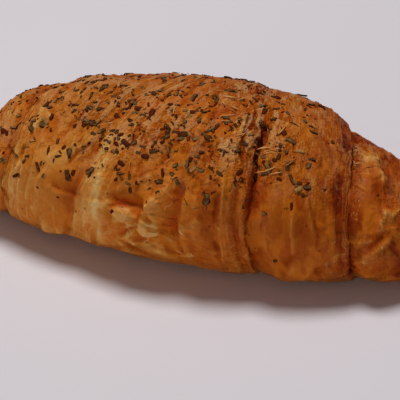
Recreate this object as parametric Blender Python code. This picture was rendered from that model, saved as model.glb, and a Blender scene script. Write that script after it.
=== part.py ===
"""A croissant with dried herbs baked onto its top: one fused solid, in metres, +Z up.

+X runs along the roll, -Y is its front, and the flat underside lies on Z = 0 with the origin
below the middle. A triangle of dough was rolled up from its wide side, so each layer's two
edges wind round the roll and come nearer the middle with every turn.
"""
import math

import bmesh
import bpy
import numpy as np
from mathutils import Matrix, Vector
from mathutils.bvhtree import BVHTree

# Driving dimensions
LENGTH = 0.186  # tip to tip
WIDTH = 0.0708
HEIGHT = 0.0570
BELLY = 0.52  # height of the widest place, as a share
ROUND_POWER = 2.0  # the section is an ellipse above its widest place
UNDER_POWER = 2.7  # and squarer below it
BOW = 0.0026  # how far the tips lie behind the middle
SINK = 0.0022  # how much of the round underside was pressed flat
TIP_LIFT = 0.0020  # how far the tips curl up off the table
PRESSED = 0.9  # how much of the relief is pressed out underneath
PRESSED_TURNS = (math.radians(128), math.radians(160))  # from the sides of the base inwards

# How the roll thins towards its tips, by shares of the half length
TAPER = {-1: 0.40, +1: 0.70}
TAPER_POWER = 1.80
TIP_TAPER = {-1: 0.27, +1: 0.04}  # and how much more past TIP_START
TIP_START = 0.70
CAP_POWER = 14.0
RELIEF_POWER = 0.8  # how fast the relief dies out with the girth

# Layer edges on each side, innermost first. "top" is the meridian share where an edge crosses
# the top, and "front" how much further out it lies a quarter turn later, at the front. A layer
# slopes down by "lip" to its edge, then drops by "step", and the next layer rises again over
# "rise" until it lies "net" below the layer before.
EDGES = {
    +1: [
        {"top": 0.121, "front": 0.025, "lip": 0.0012, "step": 0.0014, "rise": 0.009, "net": 0.0004},
        {"top": 0.356, "front": 0.022, "lip": 0.0014, "step": 0.0026, "rise": 0.006, "net": 0.0024},
        {"top": 0.622, "front": 0.058, "lip": 0.0012, "step": 0.0016, "rise": 0.007, "net": 0.0012},
        {"top": 0.862, "front": 0.050, "lip": 0.0010, "step": 0.0012, "rise": 0.005, "net": 0.0008},
    ],
    -1: [
        {"top": 0.155, "front": 0.100, "lip": 0.0010, "step": 0.0010, "rise": 0.008, "net": 0.0013},
        {"top": 0.455, "front": 0.035, "lip": 0.0012, "step": 0.0012, "rise": 0.007, "net": 0.0013},
        {"top": 0.655, "front": 0.055, "lip": 0.0012, "step": 0.0014, "rise": 0.007, "net": 0.0010},
        {"top": 0.862, "front": 0.050, "lip": 0.0008, "step": 0.0010, "rise": 0.005, "net": 0.0010},
    ],
}
PILLOW = 0.0010  # how far each layer swells between its edges
LIP_WIDTH = 0.008  # the sloping side of a layer, where its cut sheets show
TIGHT = {"keep": 0.35, "middle": -30.0, "half": 30.0, "fade": 25.0}  # first edge on the right, on top
CLEFT = {"depth": 0.0034, "width": 0.0013, "shift": 0.001, "from": 20.0, "to": 82.0, "fade": 12.0}
TURN_BLEND = 0.15  # quarter turns over which an edge's lean changes at the top

# Creases (negative height) and swellings, each along a line between two places, which are given
# as a meridian share and degrees from the top
FOLDS = [
    {"from": (-0.160, 86), "to": (-0.095, 84), "width": 0.0022, "height": -0.0016},
    {"from": (-0.155, 95), "to": (-0.105, 94), "width": 0.0050, "height": 0.0012},
    {"from": (0.000, 74), "to": (-0.008, 99), "width": 0.0022, "height": -0.0016},
    {"from": (0.032, 74), "to": (0.032, 104), "width": 0.0050, "height": 0.0008},
    {"from": (-0.370, 117), "to": (-0.290, 121), "width": 0.0100, "height": 0.0019},
    {"from": (0.240, 112), "to": (0.290, 116), "width": 0.0090, "height": 0.0014},
    {"from": (0.243, 70), "to": (0.250, 97), "width": 0.0030, "height": 0.0008},
    {"from": (0.395, 105), "to": (0.516, 67), "width": 0.0030, "height": 0.0011},
    {"from": (0.430, -38), "to": (0.480, -18), "width": 0.0090, "height": 0.0014},
    {"from": (0.170, 36), "to": (0.215, 44), "width": 0.0060, "height": 0.0008},
]

# Low swells all over, as a sum of waves
SWELL_SEED = 37
SWELL_WAVES = 9
SWELL_HEIGHT = 0.0007
SWELL_LENGTHS = (0.018, 0.045)

# Mesh: shares of a layer's width where its rings lie, and the turns of a ring's points
BAND_RINGS = (0.0, 0.03, 0.14, 0.34, 0.54, 0.72, 0.86, 0.97)
TONGUE_RINGS = (0.0, 0.25, 0.48, 0.70, 0.86, 0.97)
TIP_RINGS = (0.0, 0.12, 0.3, 0.5, 0.7, 0.86)
FINE_TURNS = (-102, 126, 7.0)  # from, to and step in degrees where the mesh is fine
COARSE_POINTS = 9  # and points on the rest of the ring
STRAIGHT_TURN = math.radians(125)  # the mesh follows the edges as far round as this

# Herb flakes: six-sided lenses, half sunk in the crust
HERB_SEED = 11
HERB_COUNT = 150
HERB_TRIES = 6000
HERB_LENGTH = (0.0026, 0.0046)
HERB_SHAPE = (0.52, 0.26)  # width and thickness as shares of the length
HERB_SPACING = 0.0050
HERB_RISE = 0.00012  # how far a flake's middle stands above the crust
HERB_MERIDIANS = (-0.86, -0.66, 0.28, 0.38)  # none, full, full and none of the sprinkle
HERB_TURNS = (-95.0, -62.0, 48.0, 84.0)  # the same round the roll, in degrees
HERB_CLUSTERS = [(-0.085, 55, 0.010), (0.205, 47, 0.009), (0.285, 45, 0.007), (-0.215, 20, 0.014)]
HERB_BASE = 0.45  # the sprinkle's density away from its clusters


def smooth(low, high, x):
    share = np.clip((x - low) / (high - low), 0.0, 1.0)
    return share * share * (3 - 2 * share)


def tapered(along):
    """Share of the full girth at a share of the half length, before the tips are rounded."""
    size = np.abs(along)
    slim = np.where(along < 0, TAPER[-1], TAPER[+1]) * size**TAPER_POWER
    tip = np.where(along < 0, TIP_TAPER[-1], TIP_TAPER[+1]) * smooth(TIP_START, 1, size)
    return 1 - slim - tip


def girth(along):
    return tapered(along) * np.sqrt(np.clip(1 - np.abs(along) ** CAP_POWER, 0, 1))


def edge_places(side, quarter):
    """Meridian shares of a side's layer edges, quarter turns round from the top."""
    places = []
    back = EDGES[side][0]["front"]
    for number, edge in enumerate(EDGES[side]):
        if number:
            last = EDGES[side][number - 1]
            back = (edge["top"] - last["top"]) / 2 - last["front"]
        ahead = (quarter + np.sqrt(quarter**2 + TURN_BLEND**2)) / 2
        places.append(edge["top"] + back * quarter + (edge["front"] - back) * ahead)
    return places


def cleft(past, degrees):
    """Depth of the open gap beside the first edge on the right, where that layer lifts."""
    opened = smooth(CLEFT["from"] - CLEFT["fade"], CLEFT["from"] + CLEFT["fade"], degrees)
    closed = smooth(CLEFT["to"] - CLEFT["fade"], CLEFT["to"] + CLEFT["fade"], degrees)
    beside = (past - CLEFT["shift"]) / CLEFT["width"]
    return CLEFT["depth"] * opened * (1 - closed) * np.exp(-(beside**2))


def unrolled(meridian, turn):
    """Metres along and round the roll, as if its crust were laid out flat."""
    return LENGTH / 2 * np.sin(meridian * math.pi / 2), (WIDTH + HEIGHT) / 4 * turn


def fold_distance(fold, meridian, turn):
    """How far a place lies from the line of a fold, in metres."""
    x, y = unrolled(meridian, turn)
    start_x, start_y = unrolled(fold["from"][0], math.radians(fold["from"][1]))
    end_x, end_y = unrolled(fold["to"][0], math.radians(fold["to"][1]))
    run_x, run_y = end_x - start_x, end_y - start_y
    share = ((x - start_x) * run_x + (y - start_y) * run_y) / (run_x**2 + run_y**2)
    share = np.clip(share, 0, 1)
    return np.hypot(x - start_x - share * run_x, y - start_y - share * run_y)


def swell(x, y, z):
    """Low waves in all directions, which make the roll uneven."""
    draw = np.random.default_rng(SWELL_SEED)
    total = np.zeros_like(x)
    for _ in range(SWELL_WAVES):
        heading = draw.normal(size=3)
        heading = heading / np.linalg.norm(heading) * 2 * math.pi / draw.uniform(*SWELL_LENGTHS)
        start = draw.uniform(0, 2 * math.pi)
        total = total + np.sin(x * heading[0] + y * heading[1] + z * heading[2] + start)
    return SWELL_HEIGHT * total / math.sqrt(SWELL_WAVES)


def relief(meridian, turn):
    """How far the surface stands out from the smooth spindle, in metres."""
    height = np.zeros_like(meridian)
    degrees = np.degrees(turn)
    from_tight = np.abs(degrees - TIGHT["middle"]) - TIGHT["half"]
    tight = TIGHT["keep"] + (1 - TIGHT["keep"]) * smooth(0, TIGHT["fade"], from_tight)
    for side in (-1, +1):
        out = np.sin(meridian * side * math.pi / 2)
        places = edge_places(side, turn / (math.pi / 2))
        for edge, place in zip(EDGES[side], places):
            past = LENGTH / 2 * (out - np.sin(place * math.pi / 2))
            inside = -edge["lip"] * smooth(-LIP_WIDTH, 0, past)
            hollow = edge["lip"] + edge["step"] - edge["net"]
            outside = -edge["net"] - hollow * (1 - smooth(0, edge["rise"], past))
            ledge = np.where(past < 0, inside, outside)
            if edge is EDGES[+1][0]:
                ledge = ledge * tight - cleft(past, degrees)
            height = height + ledge
        for inner, outer in zip(places, places[1:] + [np.ones_like(turn)]):
            share = np.clip((meridian * side - inner) / (outer - inner), 0, 1)
            height = height + PILLOW * 4 * share * (1 - share)
    for fold in FOLDS:
        away = fold_distance(fold, meridian, turn) / fold["width"]
        height = height + fold["height"] * np.exp(-(away**2))
    return height


def surface(meridian, turn):
    """Points of the crust: meridian runs -1 to 1 from tip to tip, turn is the angle from the top."""
    along = np.sin(meridian * math.pi / 2)
    share = np.maximum(girth(along), 0)
    wide = WIDTH / 2 * share
    low = HEIGHT * BELLY * share
    middle = HEIGHT * BELLY * tapered(along) - SINK * np.sqrt(share) + TIP_LIFT * np.abs(along) ** 3
    tall = np.where(np.cos(turn) > 0, HEIGHT * (1 - BELLY) * share, low)
    power = ROUND_POWER + (UNDER_POWER - ROUND_POWER) * smooth(-0.1, 0.8, -np.cos(turn))
    sine, cosine = np.abs(np.sin(turn)), np.abs(np.cos(turn))
    safe_wide, safe_tall = np.maximum(wide, 1e-6), np.maximum(tall, 1e-6)
    radius = ((sine / safe_wide) ** power + (cosine / safe_tall) ** power) ** (-1 / power)
    waves = swell(LENGTH / 2 * along, -radius * np.sin(turn), radius * np.cos(turn))
    pressed = 1 - PRESSED * smooth(*PRESSED_TURNS, np.abs(turn))
    radius = np.maximum(radius + (relief(meridian, turn) + waves) * pressed * share**RELIEF_POWER, 0)
    forward = radius * np.sin(turn)
    up = middle + radius * np.cos(turn)
    slope = 4 * BOW * along / LENGTH
    tilt = 1 / np.sqrt(1 + slope**2)
    x = LENGTH / 2 * along + forward * slope * tilt
    y = BOW * along**2 - forward * tilt
    return np.stack([x, y, np.maximum(up, 0)], axis=-1)


def followed(turn):
    """Quarter turns from the top, brought back to 0 under the roll so that the rings close."""
    left = (math.pi - np.abs(turn)) / (math.pi - STRAIGHT_TURN)
    limit = np.minimum(np.abs(turn), STRAIGHT_TURN) * smooth(0, 1, left)
    return np.sign(turn) * limit / (math.pi / 2)


def ring_meridians(turn):
    """Meridian shares of every ring at the given angles, from the -X tip to the +X tip."""
    rows = []
    for side in (-1, +1):
        places = edge_places(side, followed(turn))
        half = [places[0] * share for share in TONGUE_RINGS]
        for inner, outer in zip(places, places[1:]):
            half += [inner + (outer - inner) * share for share in BAND_RINGS]
        half += [places[-1] + (1 - places[-1]) * share for share in TIP_RINGS]
        rows.append([side * row for row in half])
    return np.array(rows[0][:0:-1] + rows[1])


def ring_turns():
    """Angles of a ring's points, close together on the top and front and wide underneath."""
    fine = np.arange(*FINE_TURNS)
    coarse = np.linspace(FINE_TURNS[1], FINE_TURNS[0] + 360, COARSE_POINTS, endpoint=False)
    turns = np.concatenate([fine, coarse])
    return np.sort(np.radians(np.where(turns >= 180, turns - 360, turns)))


def crust_mesh():
    """A closed mesh of the roll, with one point at each tip."""
    turns = ring_turns()
    count = len(turns)
    meridians = ring_meridians(turns)
    grid = surface(meridians, np.broadcast_to(turns, meridians.shape))
    tips = surface(np.array([-1.0, 1.0]), np.zeros(2))
    points = np.concatenate([grid.reshape(-1, 3), tips])
    last = (len(grid) - 1) * count
    faces = []
    for step in range(count):
        after = (step + 1) % count
        for ring in range(0, last, count):
            faces.append((ring + step, ring + count + step, ring + count + after, ring + after))
        faces.append((len(points) - 2, step, after))
        faces.append((len(points) - 1, last + after, last + step))
    return points, faces


def centred(points):
    """The shift that puts the origin under the middle of the box."""
    low, high = points.min(axis=0), points.max(axis=0)
    return np.array([-(low[0] + high[0]) / 2, -(low[1] + high[1]) / 2, -low[2]])


def principled(name, colour, roughness):
    material = bpy.data.materials.new(name)
    material.use_nodes = True
    shader = material.node_tree.nodes["Principled BSDF"]
    shader.inputs["Base Color"].default_value = (*colour, 1.0)
    shader.inputs["Roughness"].default_value = roughness
    shader.inputs["Metallic"].default_value = 0.0
    return material


def add_object(name, mesh, collection):
    piece = bpy.data.objects.new(name, mesh)
    collection.objects.link(piece)
    return piece


def make_crust(collection):
    points, faces = crust_mesh()
    shift = centred(points)
    shell = bmesh.new()
    corners = [shell.verts.new(point) for point in (points + shift).tolist()]
    for face in faces:
        shell.faces.new([corners[index] for index in face])
    bmesh.ops.triangulate(shell, faces=shell.faces[:])
    mesh = bpy.data.meshes.new("croissant")
    shell.to_mesh(mesh)
    shell.free()
    return add_object("croissant", mesh, collection), Vector(shift)


def sprinkled(meridian, degrees):
    """How thickly the herbs lie at a place, from 0 to 1."""
    none_left, full_left, full_right, none_right = HERB_MERIDIANS
    none_back, full_back, full_front, none_front = HERB_TURNS
    cover = smooth(none_left, full_left, meridian) * smooth(-none_right, -full_right, -meridian)
    cover = cover * smooth(none_back, full_back, degrees) * smooth(-none_front, -full_front, -degrees)
    x, y = unrolled(meridian, math.radians(degrees))
    near = HERB_BASE
    for middle_meridian, middle_degrees, reach in HERB_CLUSTERS:
        middle_x, middle_y = unrolled(middle_meridian, math.radians(middle_degrees))
        near += math.exp(-((x - middle_x) ** 2 + (y - middle_y) ** 2) / reach**2)
    return cover * min(near, 1.0)


def flake_mesh(length):
    """A six-sided lens lying flat, its long side along X."""
    lens = bmesh.new()
    width, thickness = (length * share for share in HERB_SHAPE)
    rim = []
    for corner in range(6):
        angle = math.pi / 3 * corner
        rim.append(lens.verts.new((length / 2 * math.cos(angle), width / 2 * math.sin(angle), 0)))
    top = lens.verts.new((0, 0, thickness / 2))
    base = lens.verts.new((0, 0, -thickness))
    for corner in range(6):
        after = rim[(corner + 1) % 6]
        lens.faces.new((top, rim[corner], after))
        lens.faces.new((base, after, rim[corner]))
    mesh = bpy.data.meshes.new("flake")
    lens.to_mesh(mesh)
    lens.free()
    return mesh


def make_flakes(crust, shift, collection):
    """Scatter flakes over the top and lay each one flat on the crust."""
    draw = np.random.default_rng(HERB_SEED)
    corners = [corner.co for corner in crust.data.vertices]
    skin = BVHTree.FromPolygons(corners, [face.vertices for face in crust.data.polygons])
    placed = []
    for _ in range(HERB_TRIES):
        if len(placed) == HERB_COUNT:
            break
        meridian = draw.uniform(HERB_MERIDIANS[0], HERB_MERIDIANS[-1])
        degrees = draw.uniform(HERB_TURNS[0], HERB_TURNS[-1])
        chance, heading, length = draw.uniform(), draw.uniform(0, math.pi), draw.uniform(*HERB_LENGTH)
        if chance > sprinkled(meridian, degrees):
            continue
        place = Vector(surface(np.array(meridian), np.array(math.radians(degrees)))) + shift
        spot, normal, _, _ = skin.find_nearest(place)
        if any((spot - other).length < HERB_SPACING for other in placed):
            continue
        placed.append(spot)
        flake = add_object("flake", flake_mesh(length), collection)
        lie = normal.to_track_quat("Z", "Y").to_matrix() @ Matrix.Rotation(heading, 3, "Z")
        flake.matrix_world = Matrix.Translation(spot + normal * HERB_RISE) @ lie.to_4x4()


def main():
    for old in list(bpy.data.objects):
        bpy.data.objects.remove(old)
    scene = bpy.context.scene
    crust, shift = make_crust(scene.collection)
    herbs = bpy.data.collections.new("herbs")
    scene.collection.children.link(herbs)
    make_flakes(crust, shift, herbs)
    union = crust.modifiers.new("herbs", "BOOLEAN")
    union.operation = "UNION"
    union.operand_type = "COLLECTION"
    union.collection = herbs
    union.solver = "EXACT"
    evaluated = crust.evaluated_get(bpy.context.evaluated_depsgraph_get())
    joined = bpy.data.meshes.new_from_object(evaluated)
    crust.modifiers.clear()
    crust.data = joined
    for flake in list(herbs.objects):
        bpy.data.objects.remove(flake)
    bpy.data.collections.remove(herbs)
    crust.data.shade_smooth()
    crust.data.set_sharp_from_angle(angle=math.radians(40))
    crust.data.materials.clear()
    crust.data.materials.append(principled("crust", (0.42, 0.17, 0.045), 0.42))


main()
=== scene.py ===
import math

import bpy
import numpy as np
from mathutils import Matrix, Vector, noise
from mathutils.bvhtree import BVHTree


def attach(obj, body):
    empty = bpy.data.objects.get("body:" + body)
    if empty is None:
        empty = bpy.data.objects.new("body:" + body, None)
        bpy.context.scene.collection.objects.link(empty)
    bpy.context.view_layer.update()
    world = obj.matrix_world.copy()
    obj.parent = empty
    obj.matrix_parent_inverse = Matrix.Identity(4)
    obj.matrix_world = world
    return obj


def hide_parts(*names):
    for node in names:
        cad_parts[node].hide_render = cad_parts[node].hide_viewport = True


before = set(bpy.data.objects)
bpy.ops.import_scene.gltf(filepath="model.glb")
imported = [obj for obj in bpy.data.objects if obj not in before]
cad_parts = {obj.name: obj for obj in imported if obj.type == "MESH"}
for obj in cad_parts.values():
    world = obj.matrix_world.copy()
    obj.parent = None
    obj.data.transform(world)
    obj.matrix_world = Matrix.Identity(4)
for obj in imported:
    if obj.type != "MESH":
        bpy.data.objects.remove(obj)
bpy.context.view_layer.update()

print("frame loaded")


class Wire:  # one output of a material's node, so that shader maths reads as plain sums
    def __init__(self, tree, socket=None):
        self.tree = tree
        self.socket = socket

    def node(self, kind, settings, inlets, outlet=0):
        made = self.tree.nodes.new("ShaderNode" + kind)
        for name, value in settings.items():
            if name == "stops":
                ramp = made.color_ramp
                while len(ramp.elements) < len(value):
                    ramp.elements.new(0.5)
                for stop, (place, colour) in zip(ramp.elements, value):
                    stop.position = place
                    stop.color = (*colour, 1)
            else:
                setattr(made, name, value)
        for name, value in inlets.items():
            if isinstance(value, Wire):
                self.tree.links.new(value.socket, made.inputs[name])
            else:
                made.inputs[name].default_value = value
        return Wire(self.tree, made.outputs[outlet])

    def into(self, inlet):
        self.tree.links.new(self.socket, inlet)

    def maths(self, operation, first, second):
        return self.node("Math", {"operation": operation}, {0: first, 1: second})

    def __add__(self, other):
        return self.maths("ADD", self, other)

    def __sub__(self, other):
        return self.maths("SUBTRACT", self, other)

    def __mul__(self, other):
        return self.maths("MULTIPLY", self, other)

    def __radd__(self, other):
        return self.maths("ADD", other, self)

    def __rsub__(self, other):
        return self.maths("SUBTRACT", other, self)

    def __rmul__(self, other):
        return self.maths("MULTIPLY", other, self)

    def between(self, low, high):  # 0 below low, 1 above high, smooth between
        settings = {"interpolation_type": "SMOOTHSTEP"}
        return self.node("MapRange", settings, {"Value": self, "From Min": low, "From Max": high})

    def tint(self, first, second):  # a mix of two colours, this being the second one's share
        first = (*first, 1) if isinstance(first, tuple) else first
        second = (*second, 1) if isinstance(second, tuple) else second
        return self.node("Mix", {"data_type": "RGBA"}, {0: self, 6: first, 7: second}, 2)


def screen(red, green, blue):  # a colour as a screen shows it, 0 to 255, made linear
    shares = [value / 255 for value in (red, green, blue)]
    return tuple(s / 12.92 if s <= 0.04045 else ((s + 0.055) / 1.055) ** 2.4 for s in shares)


def newMaterial(name):
    material = bpy.data.materials.new(name)
    material.use_nodes = True
    shader = material.node_tree.nodes["Principled BSDF"]
    return material, Wire(material.node_tree), shader


def newPiece(name, points, faces, attributes):  # a smooth mesh with numbers or vectors at its points
    mesh = bpy.data.meshes.new(name)
    mesh.from_pydata(points, [], faces)
    mesh.shade_smooth()
    for attribute, values in attributes.items():
        values = np.asarray(values, dtype=np.float32)
        kind, field = ("FLOAT", "value") if values.ndim == 1 else ("FLOAT_VECTOR", "vector")
        layer = mesh.attributes.new(attribute, kind, "POINT")
        layer.data.foreach_set(field, values.ravel())
    piece = bpy.data.objects.new(name, mesh)
    bpy.context.scene.collection.objects.link(piece)
    return piece


def smooth(low, high, x):
    share = np.clip((x - low) / (high - low), 0.0, 1.0)
    return share * share * (3 - 2 * share)


def bell(x, width):  # 1 at 0, less on both sides
    return np.exp(-((x / width) ** 2))


roll = {  # the form of the roll, as in the CAD: metres, and shares of the way to a tip
    "length": 0.186, "width": 0.0708, "height": 0.0570, "belly": 0.52,
    "roundPower": 2.0, "underPower": 2.7, "squarer": (-0.1, 0.8),
    "bow": 0.0026, "sink": 0.0022, "tipLift": 0.0020,
    "pressed": 0.9, "pressedTurns": (math.radians(128), math.radians(160)),
    "taper": {-1: 0.40, +1: 0.70}, "taperPower": 1.80, "tipTaper": {-1: 0.27, +1: 0.04},
    "tipStart": 0.70, "capPower": 14.0, "reliefPower": 0.8,
    "swellSeed": 37, "swellWaves": 9, "swellHeight": 0.0007, "swellLengths": (0.018, 0.045),
    "pillow": 0.0010, "lipWidth": 0.008, "turnBlend": 0.15, "straightTurn": math.radians(125),
    "uneven": [(0.0035, 3.1), (0.0018, 9.7), (0.0011, 23.0), (0.0006, 59.0)],  # edges: size, waves
}
perRadian = (roll["width"] + roll["height"]) / 4  # metres round the roll
onEdge = 2e-5  # metres past an edge where the next layer starts

# the layers' edges on each side, innermost first: where each crosses the top and its lean to the
# front, the slope down to it, the drop at it, how the next layer rises again and how much lower that
# stays, how strongly the skin beyond is pulled, how dark the painted shade along it is, how high its
# sheets stand and how bright their painted highlights are, how pale and baked its side is, and for one
# edge how far it's worn down to a slope
edgeParts = ("top", "front", "lip", "step", "rise", "net",
             "pull", "dark", "sheen", "pale", "bake", "soft")
edges = {side: [dict(zip(edgeParts, row)) for row in rows] for side, rows in {
    +1: [
        (0.121, 0.025, 0.0012, 0.0014, 0.009, 0.0004, 0.25, 0.30, 0.45, 0.25, 0.10),
        (0.356, 0.022, 0.0014, 0.0026, 0.006, 0.0024, 1.6, 0.30, 0.45, 0.10, 0.34),
        (0.622, 0.058, 0.0012, 0.0016, 0.007, 0.0012, 0.7, 0.5, 0.5, 0.30, 0.10),
        (0.862, 0.050, 0.0010, 0.0012, 0.005, 0.0008, 0.4, 0.5, 0.5, 0.20, 0.10),
    ],
    -1: [
        (0.155, 0.100, 0.0010, 0.0010, 0.008, 0.0013, 0.2, 0.04, 0.8, 0.45, -0.05, 0.0013),
        (0.455, 0.035, 0.0012, 0.0012, 0.007, 0.0013, 0.4, 0.35, 0.7, 0.24, 0.04),
        (0.655, 0.055, 0.0012, 0.0014, 0.007, 0.0010, 0.6, 0.5, 0.6, 0.35, 0.05),
        (0.862, 0.050, 0.0008, 0.0010, 0.005, 0.0010, 0.4, 0.5, 0.5, 0.20, 0.10),
    ],
}.items()}
openEdge = edges[+1][0]  # open as a cleft on the front, drawn tight at the back of the top
tight = {"keep": 0.22, "middle": -30.0, "half": 30.0, "fade": 25.0}
cleft = {"depth": 0.0034, "width": 0.0013, "shift": 0.001, "from": 20.0, "to": 82.0, "fade": 12.0}

# folds between two places given as share along and degrees round: how high they stand or, below 0,
# how deep they are, how far the skin slopes on the gentle side and on the other, and which side the
# gentle one is
foldParts = ("from", "to", "height", "gentle", "brink", "side")
folds = [dict(zip(foldParts, row)) for row in [
    ((-0.165, 86), (-0.09, 84), -0.0021, 0.0042, 0.0005, -1),  # above the pillow
    ((-0.094, 78), (-0.088, 96), -0.0014, 0.0022, 0.0005, +1),  # the pillow's right side
    ((-0.086, 93), (-0.142, 106), -0.0013, 0.003, 0.0005, +1),  # below it
    ((0.006, 68), (-0.01, 101), -0.0021, 0.005, 0.0005, +1),  # the long crease to its right
    ((-0.046, 100), (-0.004, 101), -0.0012, 0.003, 0.0006, -1),  # the hook at its foot
    ((-0.01, 98), (0.0, 116), -0.001, 0.0026, 0.0005, +1),
    ((-0.081, 90), (-0.038, 95), 0.001, 0.0022, 0.0005, +1),
    ((-0.125, 98), (-0.083, 91), 0.0009, 0.0022, 0.0005, +1),
    ((-0.081, 84), (-0.054, 78), 0.001, 0.0024, 0.0005, +1),
    ((-0.122, 102), (-0.106, 114), 0.0008, 0.0022, 0.0005, +1),
    ((-0.02, 104), (-0.008, 115), 0.0007, 0.002, 0.0005, +1),
    ((-0.155, 95), (-0.105, 94), 0.001, 0.005, 0.005, +1),
    ((0.032, 74), (0.032, 104), 0.0008, 0.005, 0.005, +1),
    ((-0.37, 117), (-0.29, 121), 0.0019, 0.01, 0.01, +1),
    ((0.24, 112), (0.29, 116), 0.0014, 0.009, 0.009, +1),
    ((0.243, 66), (0.25, 99), 0.0009, 0.0014, 0.0005, -1),
    ((0.261, 53), (0.3, 82), 0.0006, 0.0012, 0.0006, +1),
    ((0.185, 78), (0.196, 104), 0.0004, 0.0012, 0.0005, +1),
    ((0.098, 10), (0.101, 42), 0.0013, 0.004, 0.0004, +1),
    ((0.083, 12), (0.088, 40), 0.0005, 0.0012, 0.0004, +1),
    ((0.139, 14), (0.15, 34), -0.0022, 0.0014, 0.0009, -1),
    ((0.131, 20), (0.128, 46), 0.0008, 0.0009, 0.0006, +1),
    ((0.165, 10), (0.15, 48), 0.0007, 0.0012, 0.0006, -1),
    ((0.39, 107), (0.516, 66), 0.0014, 0.0034, 0.001, +1),
    ((0.462, 48), (0.457, 70), 0.0016, 0.0026, 0.0005, -1),
    ((0.505, 40), (0.48, 56), 0.0009, 0.0022, 0.0005, +1),
    ((0.375, 2), (0.425, -14), 0.0009, 0.0024, 0.0006, +1),
    ((0.43, 6), (0.445, 24), 0.0008, 0.0022, 0.0006, -1),
    ((0.372, 22), (0.41, 16), 0.0007, 0.0016, 0.0006, +1),
    ((0.372, 34), (0.408, 38), 0.0006, 0.0016, 0.0006, -1),
    ((0.402, 84), (0.45, 76), 0.0007, 0.0026, 0.0006, +1),
    ((0.43, -38), (0.48, -18), 0.0014, 0.009, 0.009, +1),
    ((0.17, 36), (0.215, 44), 0.001, 0.006, 0.004, +1),
    ((0.087, 58), (0.092, 116), 0.0006, 0.0012, 0.0004, -1),
    ((0.022, 25), (0.056, 8), -0.0016, 0.0034, 0.0008, -1),
    ((0.05, 17), (0.094, 14), -0.0015, 0.0022, 0.0006, -1),
    ((-0.335, 80), (-0.245, 85), -0.0007, 0.0036, 0.0007, -1),
    ((-0.14, 54), (-0.04, 36), -0.0012, 0.004, 0.0008, -1),
    ((-0.11, 68), (-0.025, 54), -0.0011, 0.0036, 0.0008, -1),
    ((-0.29, 68), (-0.23, 48), -0.0012, 0.004, 0.0008, +1),
    ((-0.33, 50), (-0.27, 22), -0.001, 0.0036, 0.0008, +1),
    ((0.396, 56), (0.424, 86), -0.0006, 0.005, 0.0012, -1),
]]
foldEnds = (-0.12, 0.22, 0.78, 1.12)  # where a fold starts, is whole, thins and ends on its way


def tapered(along):
    size = np.abs(along)
    slim = np.where(along < 0, roll["taper"][-1], roll["taper"][+1]) * size ** roll["taperPower"]
    tip = np.where(along < 0, roll["tipTaper"][-1], roll["tipTaper"][+1])
    return 1 - slim - tip * smooth(roll["tipStart"], 1, size)


def girth(along):
    return tapered(along) * np.sqrt(np.clip(1 - np.abs(along) ** roll["capPower"], 0, 1))


def edgePlaces(side, quarter):  # share along of a side's edges, quarter turns from the top
    places = []
    back = edges[side][0]["front"]
    for number, edge in enumerate(edges[side]):
        if number:
            last = edges[side][number - 1]
            back = (edge["top"] - last["top"]) / 2 - last["front"]
        ahead = (quarter + np.sqrt(quarter**2 + roll["turnBlend"] ** 2)) / 2
        uneven = 0.0
        for size, waves in roll["uneven"]:
            uneven = uneven + size * np.sin(quarter * (waves + number) + waves * number + side)
        places.append(edge["top"] + back * quarter + (edge["front"] - back) * ahead + uneven)
    return places


def alongMetres(meridian):
    return roll["length"] / 2 * np.sin(meridian * math.pi / 2)


def unrolled(meridian, turn):  # metres along and round the roll, as if its crust lay flat
    return alongMetres(meridian), perRadian * turn


def foldShape(fold, x, y):  # 1 along a fold's line, less on both sides of it and towards its ends
    startX, startY = unrolled(fold["from"][0], math.radians(fold["from"][1]))
    endX, endY = unrolled(fold["to"][0], math.radians(fold["to"][1]))
    run = math.hypot(endX - startX, endY - startY)
    aheadX, aheadY = (endX - startX) / run, (endY - startY) / run
    share = ((x - startX) * aheadX + (y - startY) * aheadY) / run
    off = ((y - startY) * aheadX - (x - startX) * aheadY) * fold["side"]
    starts, whole, thins, stops = foldEnds
    ends = smooth(starts, whole, share) * (1 - smooth(thins, stops, share))
    return ends * np.where(off > 0, np.exp(-off / fold["gentle"]), bell(off, fold["brink"]))


def swell(x, y, z):
    draw = np.random.default_rng(roll["swellSeed"])
    total = np.zeros_like(x)
    for _ in range(roll["swellWaves"]):
        heading = draw.normal(size=3)
        heading = heading / np.linalg.norm(heading) * 2 * math.pi / draw.uniform(*roll["swellLengths"])
        start = draw.uniform(0, 2 * math.pi)
        total = total + np.sin(x * heading[0] + y * heading[1] + z * heading[2] + start)
    return roll["swellHeight"] * total / math.sqrt(roll["swellWaves"])


def cleftDepth(past, degrees):
    opened = smooth(cleft["from"] - cleft["fade"], cleft["from"] + cleft["fade"], degrees)
    closed = smooth(cleft["to"] - cleft["fade"], cleft["to"] + cleft["fade"], degrees)
    return opened * (1 - closed) * bell(past - cleft["shift"], cleft["width"])


def pastEdge(side, meridian, place):  # metres past an edge, away from the middle
    return alongMetres(meridian * side) - alongMetres(place)


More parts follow.
